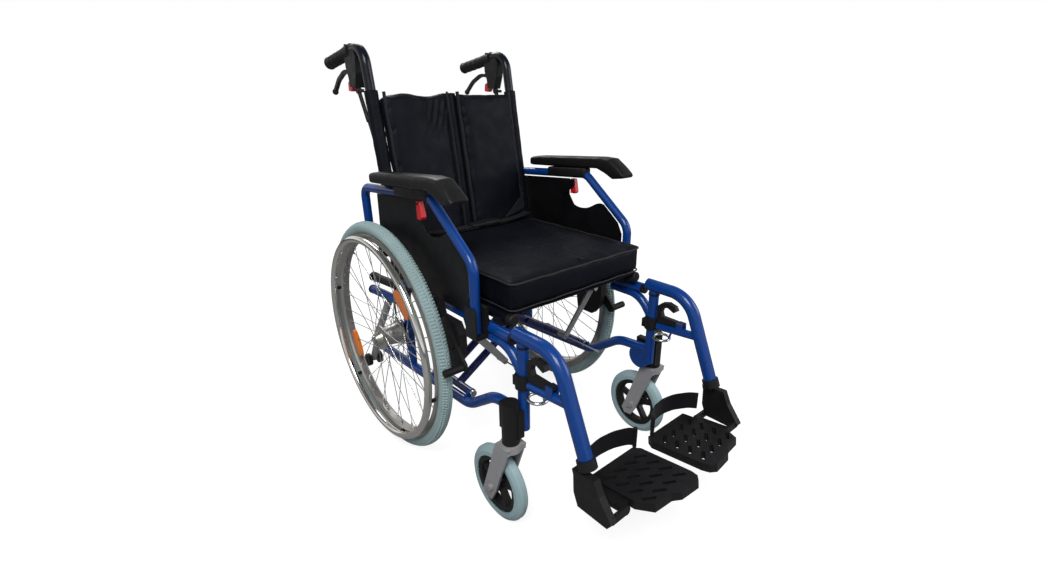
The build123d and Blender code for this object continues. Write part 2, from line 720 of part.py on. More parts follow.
# ---------------------------------------------------------------- armrest
HOOP = [(40, 556), (114, 556), (118, 678), (-215, 701), (LEG_Y, 584), (LEG_Y, 434)]
HOOP_BENDS = [28, 28, 45, 45]


def hoop_body(clearance):
    """The bent tube from its rear foot to its front leg."""
    path = FilletPolyline(*in_plane(ARM_X, HOOP), radius=HOOP_BENDS)
    return rod(path, ARM_TUBE_R + clearance)


def armrest_hoop():
    """Bent tube with a flat tongue and an eye at its rear foot."""
    y, z = REAR_PIN
    hoop = hoop_body(0)
    hoop += bar_z(ARM_X, y, ARM_TUBE_R, z + 15, HOOP[0][1])
    hoop += Pos(ARM_X, *HOOP[0]) * Sphere(ARM_TUBE_R)
    hoop += block((ARM_X - 5, ARM_X + 5), (y - 8, y + 8), (z, z + 17))
    hoop += bar_x(y, z, 10, ARM_X - 5, ARM_X + 5)
    return hoop - bar_x(y, z, REAR_PIN_R + RUN_FIT, ARM_X - 20, ARM_X + 20)


def armrest_pad():
    """Padded top with a sloping nose, on a spacer that saddles the hoop."""
    outline = [(12, 704), (12, 730), (-32, 735), (-284, 751), (-316, 745), (-353, 711)]
    outline += [(-347, 703), (-327, 699), (-300, 698), (-268, 721)]
    pad = side_plate(outline, ARM_PAD_X - 22, ARM_PAD_X + 22)
    pad = fillet(pad.edges().filter_by(Axis.X), 4)
    spacer = block((ARM_X - 11, ARM_X + 11), (-205, -85), (688, 716))
    spacer -= hoop_body(0.1)
    cut = side_plate([(-210, 703), (-80, 694), (-80, 640), (-210, 640)], ARM_X - 20, ARM_X + 20)
    return pad + (spacer - cut)


PANEL_X = (234.0, 237.0)
CATCH_PIVOT = (-168.0, 679.0)
PANEL_LOW_Z = 467.0


def side_panel():
    """Clothes guard with a scalloped opening at its upper front."""
    lines = Polyline(
        (-288, 629), (-338, 590), (-353, 562), (-353, 508), (-337, 502), (-337, PANEL_LOW_Z),
        (20, PANEL_LOW_Z), (20, 571), (60, 571), (56, 669), (-157, 684), (-157, 640), (-176, 614),
    )
    scallop = Spline((-176, 614), (-208, 609), (-240, 617), (-264, 629), (-288, 629))
    face = make_face([lines, scallop])
    sheet = extrude(Plane.YZ.offset(PANEL_X[0]) * face, PANEL_X[1] - PANEL_X[0])
    wedge = [(-92, 678), (-178, 684), (-180, 668), (-157, 650), (-140, 636)]
    sheet += side_plate(wedge, PANEL_X[0] - 3.4, PANEL_X[0])
    sheet -= hoop_body(0.1)
    sheet += bar_x(*CATCH_PIVOT, 2.5, PANEL_X[0] - 3.4, 249)
    return sheet


def armrest_catch():
    """Red lever in the rear corner of the scallop."""
    outline = [(-162, 684), (-175, 684), (-182, 650), (-178, 644), (-162, 644)]
    catch = side_plate(outline, PANEL_X[0] + 0.4, 247)
    catch -= bar_x(*CATCH_PIVOT, 2.5 + RUN_FIT, 200, 260)
    return catch


# ---------------------------------------------------------------- parking brake
BRAKE_PIVOT = (-285.0, 372.0)
SHOE = (-321.0, 336.0)


def parking_brake_lever():
    """Handle, arm and shoe that turn together on the brake's pivot."""
    x0 = FRAME_X + 31.5
    x1 = FRAME_X + 39
    pivot_y, pivot_z = BRAKE_PIVOT
    arm = [(-296, 380), (-331, 344), (-332, 330), (-318, 325), (-274, 362)]
    handle = [(-297, 376), (-272, 362), (-252, 398), (-226, 462), (-248, 470), (-278, 404)]
    lever = side_plate(arm, x0, x1) + side_plate(handle, x0, x1)
    lever += bar_x(pivot_y, pivot_z, 13, x0, x1)
    lever += bar_x(*SHOE, 9, x0, WHEEL_X + 20)
    knob = [(-258, 440), (-232, 430), (-218, 466), (-222, 476), (-242, 484), (-248, 480)]
    lever += side_plate(knob, x0, x1 + 6)
    lever -= bar_x(pivot_y, pivot_z, 4 + RUN_FIT, 200, 300)
    return lever


# ---------------------------------------------------------------- soft parts
def lean(shape):
    """Lean a piece that was built upright on the back tube's foot."""
    return Pos(0, 0, BACK_FOOT_Z) * Rot(-BACK_LEAN, 0, 0) * shape


BACK_LOW = 76.0               # lower and upper end of the sleeves, along the leaning tube
BACK_HIGH = 458.0
BACK_TAIL = 50.0              # the cloth between the tubes reaches lower than its sleeves


def backrest():
    """Sling with a sleeve round each back tube."""
    sling = block((-198, 198), (-8, 6), (BACK_LOW, BACK_HIGH))
    sling += block((-190, 190), (-8, 6), (BACK_TAIL, BACK_LOW + 1))
    for x in (-FRAME_X, FRAME_X):
        sleeve = bar_z(x, 0, 16.5, BACK_LOW, BACK_HIGH)
        sling += sleeve
        sling -= bar_z(x, 0, FRAME_TUBE_R + GAP, BACK_LOW - 5, BACK_HIGH + 5)
    return lean(sling)


def seat_sling():
    return block((-203, 203), (-436, -40), (RAIL_Z + 11.4, RAIL_Z + 14.4))


def seat_cushion():
    cushion = block((-208, 208), (-446, -12), (RAIL_Z + 15, CUSHION_TOP_Z))
    return fillet(cushion.edges(), 10)


def lap_belt():
    """Webbing across the back of the seat, with its buckle."""
    low = CUSHION_TOP_Z + 0.5
    webbing = block((-190, 190), (-52, -24), (low, low + 2))
    buckle = block((4, 62), (-58, -18), (low, low + 12))
    return webbing + buckle


# ---------------------------------------------------------------- assembly
SIDE_PIECES = {
    "side_frame": side_frame,
    "frame_fittings": frame_fittings,
    "axles": axles,
    "anti_tip_arm": anti_tip_arm,
    "castor_fork": castor_fork,
    "castor_wheel": castor_wheel,
    "rear_tyre": rear_tyre,
    "rear_rim": rear_rim,
    "hub_and_spokes": hub_and_spokes,
    "handrim": handrim,
    "back_tube": back_tube,
    "hand_grip": hand_grip,
    "brake_handle": brake_handle,
    "brake_lever": brake_lever,
    "lever_lock": lever_lock,
    "brake_cable": brake_cable,
    "armrest_hoop": armrest_hoop,
    "armrest_pad": armrest_pad,
    "side_panel": side_panel,
    "armrest_catch": armrest_catch,
    "parking_brake_lever": parking_brake_lever,
    "hanger": hanger,
    "hanger_latch": hanger_latch,
    "footplate_bracket": footplate_bracket,
    "footplate": footplate,
    "heel_strap": heel_strap,
    "fold_link": fold_link,
}
MIDDLE_PIECES = {
    "cross_brace_a": cross_brace_a,
    "cross_brace_b": cross_brace_b,
    "seat_sling": seat_sling,
    "seat_cushion": seat_cushion,
    "backrest": backrest,
    "lap_belt": lap_belt,
}


def save(name, shape):
    placed = Pos(0, AXLE_BEHIND_ORIGIN, 0) * shape
    export_step(placed, f"parts/{name}.step")


def main():
    os.makedirs("parts", exist_ok=True)
    for name, make in SIDE_PIECES.items():
        left = make()
        save(f"left_{name}", left)
        save(f"right_{name}", mirror(left, about=Plane.YZ))
    for name, make in MIDDLE_PIECES.items():
        save(name, make())


main()
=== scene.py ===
"""Looks of a folding manual wheelchair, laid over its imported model, in metres."""

import json
import math

import bmesh
import bpy
from mathutils import Matrix, Vector, noise


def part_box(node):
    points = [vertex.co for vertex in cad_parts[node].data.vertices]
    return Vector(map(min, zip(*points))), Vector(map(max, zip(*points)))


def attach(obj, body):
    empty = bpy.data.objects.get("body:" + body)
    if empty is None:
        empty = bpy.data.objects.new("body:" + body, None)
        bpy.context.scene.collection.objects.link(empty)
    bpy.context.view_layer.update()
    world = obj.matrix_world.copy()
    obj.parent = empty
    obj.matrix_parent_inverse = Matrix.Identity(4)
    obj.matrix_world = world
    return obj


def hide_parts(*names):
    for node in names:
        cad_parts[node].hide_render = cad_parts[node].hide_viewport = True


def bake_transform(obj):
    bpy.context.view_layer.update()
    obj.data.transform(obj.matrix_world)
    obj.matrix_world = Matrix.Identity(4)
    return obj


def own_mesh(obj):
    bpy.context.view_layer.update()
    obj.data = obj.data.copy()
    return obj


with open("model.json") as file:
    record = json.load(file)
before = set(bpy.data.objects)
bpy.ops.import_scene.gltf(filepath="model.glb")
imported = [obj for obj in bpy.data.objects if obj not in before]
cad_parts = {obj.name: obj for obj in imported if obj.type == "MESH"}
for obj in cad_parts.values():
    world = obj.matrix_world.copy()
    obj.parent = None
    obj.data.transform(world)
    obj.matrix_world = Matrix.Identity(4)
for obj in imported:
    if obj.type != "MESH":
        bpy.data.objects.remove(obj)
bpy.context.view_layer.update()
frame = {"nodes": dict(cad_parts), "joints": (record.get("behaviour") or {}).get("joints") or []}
nodes = frame["nodes"]
joints = {j["name"]: j for j in frame["joints"]}
SIDES = (("left", 1), ("right", -1))

# Places that the frame gives
AXLE = Vector(joints["left_wheel_spin"]["pos_m"])
AXLE_Y = AXLE.y
WHEEL_X = AXLE.x
WHEEL_R = AXLE.z
FRAME_X = joints["left_hanger_swing"]["pos_m"][0]
LEAN = math.radians(9.93)                  # of the back tubes, from upright
BACK_FOOT = Vector((0, AXLE_Y, 0.460))     # where they start to lean
ARM_X = joints["left_armrest_flip"]["pos_m"][0]
PAD_X = 0.253                              # the pads stand a little outboard of the hoops
HOOP_FALL = 0.069                          # slope of a hoop's top, down towards the back
RAIL_X = 0.197
RAIL_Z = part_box("seat_sling")[0].z - 0.0114


# ---------------------------------------------------------------- materials
def new_material(name):
    mat = bpy.data.materials.new(name)
    mat.use_nodes = True
    return mat, mat.node_tree, mat.node_tree.nodes["Principled BSDF"]


def add(tree, kind, **values):
    node = tree.nodes.new(kind)
    for key, value in values.items():
        setattr(node, key, value)
    return node


def noise_at(tree, scale, detail=4.0, stretch=(1, 1, 1)):
    """Noise over the object's own metres; returns its factor output."""
    coord = add(tree, "ShaderNodeTexCoord")
    mapping = add(tree, "ShaderNodeMapping")
    mapping.inputs["Scale"].default_value = stretch
    tree.links.new(coord.outputs["Object"], mapping.inputs["Vector"])
    tex = add(tree, "ShaderNodeTexNoise")
    tex.inputs["Scale"].default_value = scale
    tex.inputs["Detail"].default_value = detail
    tree.links.new(mapping.outputs["Vector"], tex.inputs["Vector"])
    return tex.outputs["Fac"]


def ramp(tree, factor, low, high, start=0.3, end=0.7):
    """Maps a factor to a colour or grey between low and high."""
    node = add(tree, "ShaderNodeValToRGB")
    node.color_ramp.elements[0].position = start
    node.color_ramp.elements[1].position = end
    node.color_ramp.elements[0].color = low
    node.color_ramp.elements[1].color = high
    tree.links.new(factor, node.inputs["Fac"])
    return node.outputs["Color"]


def grey(value):
    return (value, value, value, 1)


def bump(tree, shader, heights):
    """Chains bumps of (height output, distance in metres, strength)."""
    normal = None
    for height, distance, strength in heights:
        node = add(tree, "ShaderNodeBump")
        node.inputs["Distance"].default_value = distance
        node.inputs["Strength"].default_value = strength
        tree.links.new(height, node.inputs["Height"])
        if normal:
            tree.links.new(normal, node.inputs["Normal"])
        normal = node.outputs["Normal"]
    tree.links.new(normal, shader.inputs["Normal"])


def surface(name, colour, shade, rough, metal=0.0, coat=0.0, grain=(900, 0.0002, 0.3),
            broad=6.0, specular=0.5):
    """A hard surface: colour that drifts a little, uneven gloss and a fine grain."""
    mat, tree, shader = new_material(name)
    shader.inputs["Metallic"].default_value = metal
    shader.inputs["Coat Weight"].default_value = coat
    shader.inputs["Coat Roughness"].default_value = 0.06
    shader.inputs["Specular IOR Level"].default_value = specular
    tint = ramp(tree, noise_at(tree, broad), (*colour, 1), (*shade, 1))
    tree.links.new(tint, shader.inputs["Base Color"])
    gloss = ramp(tree, noise_at(tree, 40.0), grey(rough[0]), grey(rough[1]))
    tree.links.new(gloss, shader.inputs["Roughness"])
    bump(tree, shader, [(noise_at(tree, grain[0]), grain[1], grain[2])])
    return mat


def weave_height(tree, pitch):
    """Two crossed thread waves over the object's own metres."""
    coord = add(tree, "ShaderNodeTexCoord")
    waves = []
    for direction in ("X", "Z"):
        wave = add(tree, "ShaderNodeTexWave", bands_direction=direction)
        wave.inputs["Scale"].default_value = 0.314 / pitch
        wave.inputs["Distortion"].default_value = 0.4
        wave.inputs["Detail"].default_value = 1.0
        tree.links.new(coord.outputs["Object"], wave.inputs["Vector"])
        waves.append(wave.outputs["Fac"])
    mix = add(tree, "ShaderNodeMath", operation="MAXIMUM")
    tree.links.new(waves[0], mix.inputs[0])
    tree.links.new(waves[1], mix.inputs[1])
    return mix.outputs[0]


def cloth_material(name, colour, shade, rough, pitch=0.0009, sheen=0.05, creases=0.0025):
    """Woven cloth: threads, broad soft creases, sheen and uneven wear."""
    mat, tree, shader = new_material(name)
    shader.inputs["Sheen Weight"].default_value = sheen
    shader.inputs["Sheen Roughness"].default_value = 0.4
    shader.inputs["Specular IOR Level"].default_value = 0.10
    tint = ramp(tree, noise_at(tree, 9.0, 6.0), (*colour, 1), (*shade, 1))
    tree.links.new(tint, shader.inputs["Base Color"])
    gloss = ramp(tree, noise_at(tree, 30.0), grey(rough[0]), grey(rough[1]))
    tree.links.new(gloss, shader.inputs["Roughness"])
    heights = [(weave_height(tree, pitch), 0.0002, 0.35)]
    heights.append((noise_at(tree, 14.0, 3.0, (1, 1, 0.45)), creases, 0.5))
    bump(tree, shader, heights)
    return mat


M = {
    "blue": surface("cobalt_paint", (0.001, 0.040, 0.225), (0.002, 0.050, 0.26),
                    (0.26, 0.38), coat=0.35, grain=(700, 0.0001, 0.12), specular=0.25),
    "deep_blue": surface("deep_blue_paint", (0.004, 0.012, 0.11), (0.008, 0.016, 0.14),
                         (0.24, 0.36), coat=0.25, grain=(700, 0.0001, 0.12), specular=0.3),
    "dark": surface("blue_black_paint", (0.003, 0.004, 0.008), (0.006, 0.008, 0.016),
                    (0.24, 0.36), coat=0.12, grain=(700, 0.0001, 0.12), specular=0.2),
    "silver": surface("silver_paint", (0.32, 0.32, 0.335), (0.40, 0.40, 0.415),
                      (0.34, 0.46), metal=0.25, grain=(1400, 0.0001, 0.25), specular=0.3),
    "alloy": surface("rim_alloy", (0.42, 0.40, 0.37), (0.54, 0.52, 0.49),
                     (0.26, 0.42), metal=0.9, grain=(500, 0.0001, 0.18)),
    "chrome": surface("bright_steel", (0.52, 0.53, 0.54), (0.62, 0.63, 0.64),
                      (0.16, 0.28), metal=1.0, grain=(400, 0.0001, 0.1)),
    "polished": surface("polished_ring", (0.70, 0.68, 0.64), (0.82, 0.80, 0.76),
                        (0.08, 0.16), metal=1.0, grain=(300, 0.0001, 0.06)),
    "plastic": surface("black_nylon", (0.006, 0.006, 0.007), (0.012, 0.012, 0.013),
                       (0.40, 0.60), grain=(1600, 0.0004, 0.45), specular=0.25),
    "panel": surface("panel_plastic", (0.003, 0.003, 0.0036), (0.007, 0.007, 0.008),
                     (0.34, 0.50), grain=(1300, 0.0003, 0.3), specular=0.2),
    "skin": surface("foam_skin", (0.006, 0.006, 0.007), (0.012, 0.012, 0.013),
                    (0.36, 0.52), grain=(700, 0.0006, 0.5), specular=0.22),
    "grip": surface("grip_rubber", (0.005, 0.005, 0.006), (0.010, 0.010, 0.011),
                    (0.5, 0.7), grain=(1200, 0.0006, 0.5), specular=0.25),
    "red": surface("red_lever", (0.55, 0.010, 0.018), (0.65, 0.016, 0.026),
                   (0.25, 0.4), grain=(1200, 0.0003, 0.3)),
    "orange": surface("reflector_orange", (0.85, 0.17, 0.008), (0.95, 0.25, 0.012),
                      (0.12, 0.3), coat=0.6, grain=(420, 0.0012, 0.9)),
    "tyre": surface("grey_tyre", (0.30, 0.41, 0.415), (0.36, 0.48, 0.49),
                    (0.60, 0.78), grain=(900, 0.0006, 0.5), broad=12.0, specular=0.25),
    "castor_tyre": surface("grey_castor_rubber", (0.30, 0.43, 0.46), (0.36, 0.50, 0.53),
                           (0.42, 0.58), grain=(900, 0.0003, 0.3), broad=14.0, specular=0.3),
    "nylon": cloth_material("black_nylon_cloth", (0.0022, 0.0028, 0.0060),
                            (0.0045, 0.0055, 0.0105), (0.42, 0.60), sheen=0.01),
    "binding": cloth_material("grey_binding", (0.010, 0.011, 0.014),
                              (0.018, 0.019, 0.024), (0.4, 0.55), creases=0.0004),
    "flap": cloth_material("grey_flap_cloth", (0.016, 0.017, 0.020),
                           (0.026, 0.027, 0.031), (0.5, 0.65), creases=0.001),
    "webbing": cloth_material("black_webbing", (0.008, 0.008, 0.010),
                              (0.015, 0.015, 0.018), (0.6, 0.8), pitch=0.002,
                              creases=0.0006),
    "thread": surface("seam_thread", (0.006, 0.006, 0.007), (0.013, 0.013, 0.014),
                      (0.6, 0.8), grain=(3000, 0.0002, 0.5)),
}


def paint(obj, *keys):
    obj.data.materials.clear()
    for key in keys:
        obj.data.materials.append(M[key])


def smooth(obj, angle=38):
    """Smooth shading that keeps edges sharper than the angle."""
    for poly in obj.data.polygons:
        poly.use_smooth = True
    obj.data.set_sharp_from_angle(angle=math.radians(angle))


CAD_LOOK = {
    "side_frame": "blue", "frame_fittings": "plastic", "axles": "chrome",
    "anti_tip_arm": "silver", "castor_fork": "silver", "castor_wheel": "castor_tyre",
    "rear_tyre": "tyre", "rear_rim": "alloy", "hub_and_spokes": "chrome",
    "handrim": "polished", "back_tube": "dark", "hand_grip": "grip",
    "brake_handle": "plastic", "brake_lever": "plastic", "lever_lock": "red",
    "brake_cable": "plastic", "armrest_hoop": "blue", "armrest_pad": "skin",
    "side_panel": "panel", "armrest_catch": "red", "parking_brake_lever": "plastic",
    "hanger": "blue", "hanger_latch": "plastic", "footplate_bracket": "plastic",
    "footplate": "plastic", "heel_strap": "webbing", "fold_link": "silver",
    "cross_brace_a": "deep_blue", "cross_brace_b": "deep_blue", "seat_sling": "nylon",
    "seat_cushion": "nylon", "backrest": "nylon", "lap_belt": "webbing",
}
for name, node in nodes.items():
    kind = name.replace("left_", "").replace("right_", "")
    paint(node, CAD_LOOK[kind])
    smooth(node)


def second_look(name, key, test):
    """Gives the faces whose middle passes the test a second material."""
    mesh = nodes[name].data
    mesh.materials.append(M[key])
    for poly in mesh.polygons:
        if test(poly.center):
            poly.material_index = 1


for side, sign in SIDES:
    castor = Vector(joints[f"{side}_castor_spin"]["pos_m"])
    axle = Vector((sign * WHEEL_X, AXLE_Y, WHEEL_R))
    second_look(f"{side}_castor_wheel", "plastic",
                lambda c, m=castor: (c - m).yz.length < 0.0668)
    second_look(f"{side}_handrim", "plastic",
                lambda c, s=sign: abs(c.x) - WHEEL_X < 0.0218)
    second_look(f"{side}_hub_and_spokes", "alloy",
                lambda c, m=axle: (c - m).yz.length < 0.0331)
    second_look(f"{side}_anti_tip_arm", "plastic",
                lambda c: abs(abs(c.x) - FRAME_X) > 0.0108)
    second_look(f"{side}_armrest_pad", "plastic", lambda c: c.z < 0.700)
    second_look(f"{side}_hanger", "chrome",
                lambda c: c.z < 0.3415 and c.y > AXLE_Y - 0.549)


# ---------------------------------------------------------------- shape helpers
def link(obj):
    bpy.context.scene.collection.objects.link(obj)
    return obj


def mesh_piece(name, verts, faces, key, flat=False):
    mesh = bpy.data.meshes.new(name)
    mesh.from_pydata([tuple(v) for v in verts], [], faces)
    mesh.validate()
    obj = link(bpy.data.objects.new(name, mesh))
    bm = bmesh.new()
    bm.from_mesh(mesh)
    bmesh.ops.recalc_face_normals(bm, faces=bm.faces)
    bm.to_mesh(mesh)
    bm.free()
    paint(obj, key)
    if not flat:
        smooth(obj)
    return obj


def grid_faces(rows, columns, wrap_rows=False, wrap_columns=False):
    faces = []
    for i in range(rows if wrap_rows else rows - 1):
        for j in range(columns if wrap_columns else columns - 1):
            a = i * columns + j
            b = i * columns + (j + 1) % columns
            c = ((i + 1) % rows) * columns + (j + 1) % columns
            d = ((i + 1) % rows) * columns + j
            faces.append((a, b, c, d))
    return faces


def rounded_rod(name, start, end, radius, key, bevel=0.001):
    """A round stud or bolt head between two points with a broken edge."""
    axis = (end - start).normalized()
    side = axis.orthogonal().normalized()
    other = axis.cross(side)
    length = (end - start).length
    stops = [(0, radius - bevel), (bevel, radius), (length - bevel, radius),
             (length, radius - bevel)]
    around = 28
    verts = []
    for along, r in stops:
        for j in range(around):
            turn = 2 * math.pi * j / around
            ring = side * math.cos(turn) + other * math.sin(turn)
            verts.append(start + axis * along + ring * r)
    faces = grid_faces(len(stops), around, wrap_columns=True)
    faces.append(tuple(range(around)))
    faces.append(tuple(len(stops) * around - 1 - j for j in range(around)))
    return mesh_piece(name, verts, faces, key)


def cord_curve(name, points, radius, key, closed=False):
    """A thin sewn cord or piping along points."""
    curve = bpy.data.curves.new(name, "CURVE")
    curve.dimensions = "3D"
    curve.bevel_depth = radius
    curve.bevel_resolution = 3
    spline = curve.splines.new("NURBS")
    spline.points.add(len(points) - 1)
    for point, place in zip(spline.points, points):
        point.co = (*place, 1)
    spline.order_u = 3
    spline.use_endpoint_u = not closed
    spline.use_cyclic_u = closed
    mesh = bpy.data.meshes.new_from_object(bpy.data.objects.new(name + "_line", curve))
    obj = link(bpy.data.objects.new(name, mesh))
    paint(obj, key)
    smooth(obj, 60)
    return obj


def leaned(x, y, z):
    """A place given upright on the back tube's foot, leaned with the back."""
    return BACK_FOOT + Vector(
        (x, y * math.cos(LEAN) + z * math.sin(LEAN), z * math.cos(LEAN) - y * math.sin(LEAN))
    )


def soft_block(name, low, high, divisions, crown, pull, key, place=None, puckers=0.0):
    """Stuffed block: crowned faces, sides that pull in, seams left at the edges."""
    nx, ny, nz = divisions
    bm = bmesh.new()
    bmesh.ops.create_cube(bm, size=2.0)
    bmesh.ops.subdivide_edges(
        bm, edges=[e for e in bm.edges if abs(e.verts[0].co.x - e.verts[1].co.x) > 1],
        cuts=nx, use_grid_fill=True)
    bmesh.ops.subdivide_edges(
        bm, edges=[e for e in bm.edges if abs(e.verts[0].co.y - e.verts[1].co.y) > 1],
        cuts=ny, use_grid_fill=True)
    bmesh.ops.subdivide_edges(
        bm, edges=[e for e in bm.edges if abs(e.verts[0].co.z - e.verts[1].co.z) > 1],
        cuts=nz, use_grid_fill=True)
    middle = (Vector(low) + Vector(high)) / 2
    half = (Vector(high) - Vector(low)) / 2
    for vert in bm.verts:
        u, v, w = vert.co
        bulge = [(1 - u**4) if abs(u) < 1 else 0, (1 - v**4) if abs(v) < 1 else 0,
                 (1 - w**4) if abs(w) < 1 else 0]
        out = Vector((u * half.x, v * half.y, w * half.z))
        if abs(w) > 0.999:
            out.z += math.copysign(crown.z, w) * bulge[0] * bulge[1]
        if abs(v) > 0.999:
            out.y += math.copysign(crown.y, v) * bulge[0] * bulge[2]
        if abs(u) > 0.999:
            out.x += math.copysign(crown.x, u) * bulge[1] * bulge[2]
        out.x *= 1 - pull * bulge[1] * 0.5
        out.y *= 1 - pull * bulge[0] * 0.5
        ripple = noise.noise(Vector((out.x * 23, out.y * 23, out.z * 23 + 3.1)))
        fine = noise.noise(Vector((out.x * 70, out.y * 18, out.z * 20)))
        out += vert.co.normalized() * (ripple * 0.0016 + fine * puckers)
        vert.co = out + middle
    mesh = bpy.data.meshes.new(name)
    bm.to_mesh(mesh)
    bm.free()
    obj = link(bpy.data.objects.new(name, mesh))
    if place:
        for vert in mesh.vertices:
            vert.co = place(*vert.co)
    paint(obj, key)
    smooth(obj, 70)
    return obj


def inflate(obj, voxel, cap, key, pressure=4.0):
    """Blows the cover up with the cloth solver, then keeps each point within cap."""
    remesh = obj.modifiers.new("voxels", "REMESH")
    remesh.mode = "VOXEL"
    remesh.voxel_size = voxel
    bpy.context.view_layer.update()
    mesh = bpy.data.meshes.new_from_object(obj.evaluated_get(bpy.context.evaluated_depsgraph_get()))
    obj.modifiers.clear()
    obj.data = mesh
    start = [v.co.copy() for v in mesh.vertices]
    cloth = obj.modifiers.new("cloth", "CLOTH")
    cloth.settings.use_pressure = True
    cloth.settings.uniform_pressure_force = pressure
    cloth.settings.effector_weights.gravity = 0
    cloth.settings.quality = 4
    cloth.settings.tension_stiffness = 12
    cloth.settings.compression_stiffness = 6
    cloth.settings.bending_stiffness = 0.6
    cloth.collision_settings.use_collision = False
    scene = bpy.context.scene
    for step in range(1, 17):
        scene.frame_set(step)
    done = bpy.data.meshes.new_from_object(obj.evaluated_get(bpy.context.evaluated_depsgraph_get()))
    obj.modifiers.clear()
    obj.data = done
    for vert, origin in zip(done.vertices, start):
        move = vert.co - origin
        if move.length > cap:
            vert.co = origin + move.normalized() * cap
    scene.frame_set(1)
    paint(obj, key)
    subdivide = obj.modifiers.new("smooth_cloth", "SUBSURF")
    subdivide.levels = 1
    subdivide.render_levels = 1
    smooth(obj, 80)
    return obj


# ---------------------------------------------------------------- rear tyres
def tread(angle_step, across):
    """Height of the tread, 0 to 1, for a step round the tyre and an angle across it."""
    edge = abs(across)
    if edge < 0.16:
        return 1.0
    if edge < 0.24:
        return 0.0
    if edge < 0.62:
        return 1.0 if (angle_step + (1 if across > 0 else 0)) % 4 < 2 else 0.0
    if edge < 0.70:
        return 0.0
    if edge < 1.02:
        return 1.0 if angle_step % 4 < 2 else 0.0
    return 0.5


def make_tyre(side, sign):
    """Grey tyre with a cut tread, sunk into the rim's bed."""
    minor = 0.0166
    major = WHEEL_R - minor
    bed_r = 0.2745
    tread_depth = 0.0019
    steps = 960
    lanes = 46
    verts = []
    for i in range(steps):
        turn = 2 * math.pi * i / steps
        for j in range(lanes):
            across = -2.55 + 5.1 * j / (lanes - 1)
            height = tread_depth * (tread(i, across) - 1.0) if abs(across) < 1.1 else -0.0006
            r = minor + height
            radial = max(major + r * math.cos(across), bed_r)
            x = sign * WHEEL_X + r * math.sin(across)
            y = AXLE_Y + radial * math.sin(turn)
            verts.append((x, y, WHEEL_R + radial * math.cos(turn)))
    faces = grid_faces(steps, lanes, wrap_rows=True)
    for i in range(steps):
        first = i * lanes
        following = ((i + 1) % steps) * lanes
        faces.append((following + lanes - 1, following, first, first + lanes - 1))
    tyre = mesh_piece(f"{side}_tyre_cover", verts, faces, "tyre")
    smooth(tyre, 25)
    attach(tyre, f"{side}_rear_wheel")
    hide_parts(f"{side}_rear_tyre")


# ---------------------------------------------------------------- wheel details
def make_reflectors(side, sign):
    """Two orange reflectors clipped between the spokes."""
    corners = 24
    half_length = 0.041
    half_width = 0.0185
    for k, (degrees, middle_r) in enumerate(((-42.6, 0.176), (115.4, 0.228))):
        turn = math.radians(degrees)
        points = []
        for corner in range(corners):
            a = 2 * math.pi * corner / corners
            along = half_length * math.copysign(abs(math.cos(a)) ** 0.85, math.cos(a))
            out = half_width * math.copysign(abs(math.sin(a)) ** 0.85, math.sin(a))
            points.append((along, out))
        verts = []
        for depth, grow in ((-0.005, 0.9), (-0.004, 1.0), (0.004, 1.0), (0.005, 0.9)):
            for along, out in points:
                r = middle_r + out * grow
                t = turn + along * grow / r
                verts.append((sign * (WHEEL_X + 0.004 + depth), AXLE_Y + r * math.sin(t),
                              WHEEL_R + r * math.cos(t)))
        faces = grid_faces(4, corners, wrap_columns=True)
        faces += [tuple(range(corners)), tuple(range(4 * corners - 1, 3 * corners - 1, -1))]
        piece = mesh_piece(f"{side}_reflector_{k}", verts, faces, "orange")
        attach(piece, f"{side}_rear_wheel")


def make_nipples(side, sign):
    """A nipple where each spoke meets the rim."""
    spokes = 36
    studs = []
    for k in range(spokes):
        turn = 2 * math.pi * k / spokes
        direction = Vector((0, math.sin(turn), math.cos(turn)))
        middle = Vector((sign * (WHEEL_X + (0.004 if k % 2 else -0.004)), AXLE_Y, WHEEL_R))
        studs.append(rounded_rod("nipple", middle + direction * 0.246,
                                 middle + direction * 0.2572, 0.0020, "chrome", 0.0004))
    nipples = join(studs, f"{side}_spoke_nipples")
    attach(nipples, f"{side}_rear_wheel")


def join(objects, name):
    """Merges objects of one material set into the first."""
    bm = bmesh.new()
    for obj in objects:
        bm.from_mesh(obj.data)
    mesh = bpy.data.meshes.new(name)
    bm.to_mesh(mesh)
    bm.free()
    for mat in objects[0].data.materials:
        mesh.materials.append(mat)
    for obj in objects:
        bpy.data.objects.remove(obj)
    piece = link(bpy.data.objects.new(name, mesh))
    smooth(piece)
    return piece


